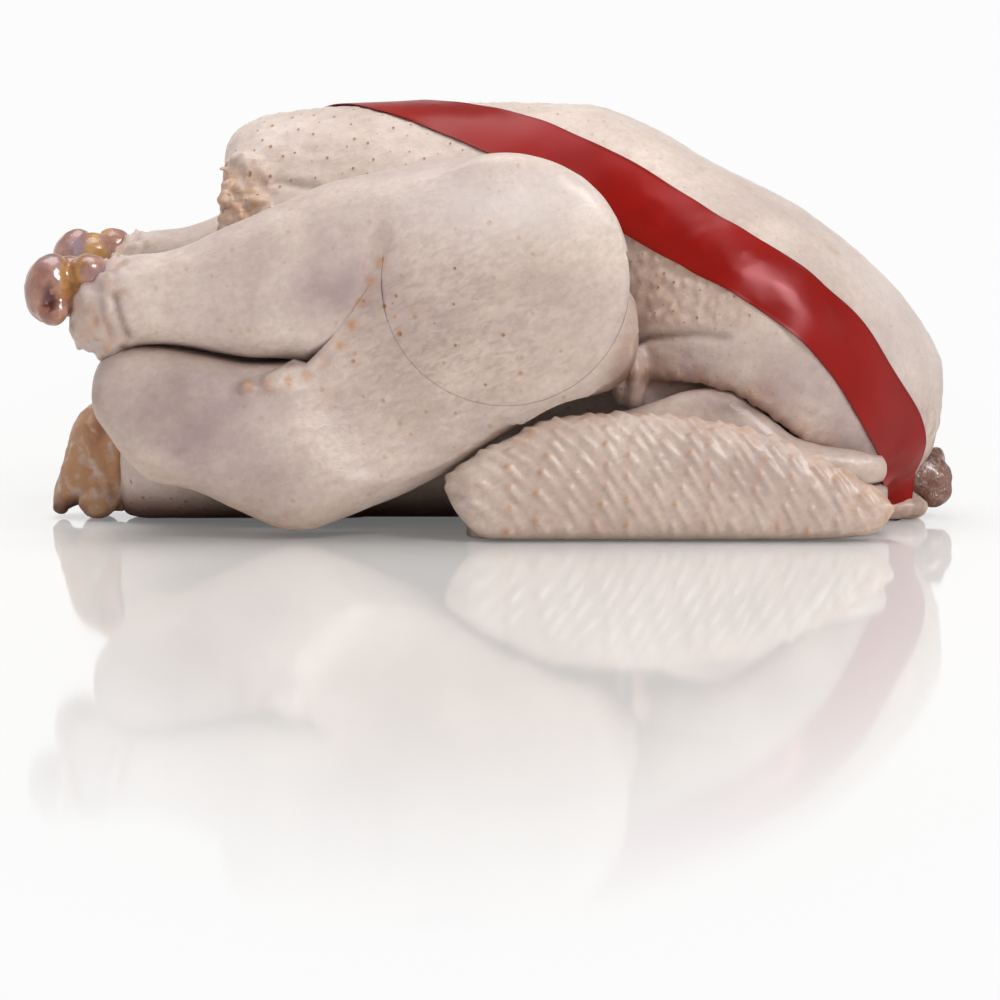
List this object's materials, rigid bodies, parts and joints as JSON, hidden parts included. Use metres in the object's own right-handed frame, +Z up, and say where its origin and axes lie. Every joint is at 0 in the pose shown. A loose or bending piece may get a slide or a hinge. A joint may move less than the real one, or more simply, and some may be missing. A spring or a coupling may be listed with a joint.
{
  "type": "rubber chicken",
  "caption": "Life-size rubber prop of a plucked, dressed chicken lying on its back, with jointed legs and wings, a squeaker, a vent pouch and a satin ribbon.",
  "frame": {"origin": "centre of the bottom of the bounding box, on the surface that the back rests on", "axes": "+X towards the neck, along the length; +Z up towards the breast; the bird's left side at -Y"},
  "size_m": [0.342, 0.2, 0.1544],
  "materials": {
    "skin_rubber": "satin",
    "wing_rubber": "satin",
    "tail_rubber": "satin",
    "neck_rubber": "gloss",
    "pouch_rubber": "matte",
    "bone_plastic": "gloss",
    "stud_plastic": "satin",
    "squeaker_plastic": "matte",
    "reed_brass": "satin",
    "satin_ribbon": "satin"
  },
  "bodies": {
    "torso": {"torso_skin": "skin_rubber", "vent_pouch": "pouch_rubber", "tail": "tail_rubber", "neck_stump": "neck_rubber", "squeaker_cup": "squeaker_plastic", "squeaker_reed": "reed_brass", "squeaker_cap": "squeaker_plastic", "ribbon": "satin_ribbon", "hip_washers": "stud_plastic", "shoulder_washers": "stud_plastic"},
    "left_upper_leg": {"left_thigh": "skin_rubber", "left_hip_stud": "stud_plastic", "left_hip_lock": "stud_plastic", "left_knee_washer": "stud_plastic"},
    "left_lower_leg": {"left_drumstick": "skin_rubber", "left_knee_stud": "stud_plastic", "left_knee_lock": "stud_plastic", "left_shank_bone": "bone_plastic"},
    "left_inner_wing": {"left_upper_wing": "wing_rubber", "left_shoulder_stud": "stud_plastic", "left_shoulder_lock": "stud_plastic", "left_elbow_washer": "stud_plastic"},
    "left_outer_wing": {"left_forewing": "wing_rubber", "left_elbow_stud": "stud_plastic", "left_elbow_lock": "stud_plastic"},
    "right_upper_leg": {"right_thigh": "skin_rubber", "right_hip_stud": "stud_plastic", "right_hip_lock": "stud_plastic", "right_knee_washer": "stud_plastic"},
    "right_lower_leg": {"right_drumstick": "skin_rubber", "right_knee_stud": "stud_plastic", "right_knee_lock": "stud_plastic", "right_shank_bone": "bone_plastic"},
    "right_inner_wing": {"right_upper_wing": "wing_rubber", "right_shoulder_stud": "stud_plastic", "right_shoulder_lock": "stud_plastic", "right_elbow_washer": "stud_plastic"},
    "right_outer_wing": {"right_forewing": "wing_rubber", "right_elbow_stud": "stud_plastic", "right_elbow_lock": "stud_plastic"}
  },
  "joints": [
    {"name": "left_hip", "type": "hinge", "parent": "torso", "child": "left_upper_leg", "pos_m": [-0.115, -0.053, 0.034], "axis": [0, -1, 0], "range_deg": [0, 60]},
    {"name": "left_knee", "type": "hinge", "parent": "left_upper_leg", "child": "left_lower_leg", "pos_m": [0.005, -0.0755, 0.095], "axis": [0, 1, 0], "range_deg": [0, 90]},
    {"name": "left_shoulder", "type": "hinge", "parent": "torso", "child": "left_inner_wing", "pos_m": [0.134, -0.062, 0.0182], "axis": [0, 0, 1], "range_deg": [0, 70]},
    {"name": "left_elbow", "type": "hinge", "parent": "left_inner_wing", "child": "left_outer_wing", "pos_m": [0.004, -0.076, 0.0162], "axis": [0, 0, -1], "range_deg": [0, 36]},
    {"name": "right_hip", "type": "hinge", "parent": "torso", "child": "right_upper_leg", "pos_m": [-0.115, 0.053, 0.034], "axis": [0, -1, 0], "range_deg": [0, 60]},
    {"name": "right_knee", "type": "hinge", "parent": "right_upper_leg", "child": "right_lower_leg", "pos_m": [0.005, 0.0755, 0.095], "axis": [0, 1, 0], "range_deg": [0, 90]},
    {"name": "right_shoulder", "type": "hinge", "parent": "torso", "child": "right_inner_wing", "pos_m": [0.134, 0.062, 0.0182], "axis": [0, 0, -1], "range_deg": [0, 70]},
    {"name": "right_elbow", "type": "hinge", "parent": "right_inner_wing", "child": "right_outer_wing", "pos_m": [0.004, 0.076, 0.0162], "axis": [0, 0, 1], "range_deg": [0, 36]}
  ]
}
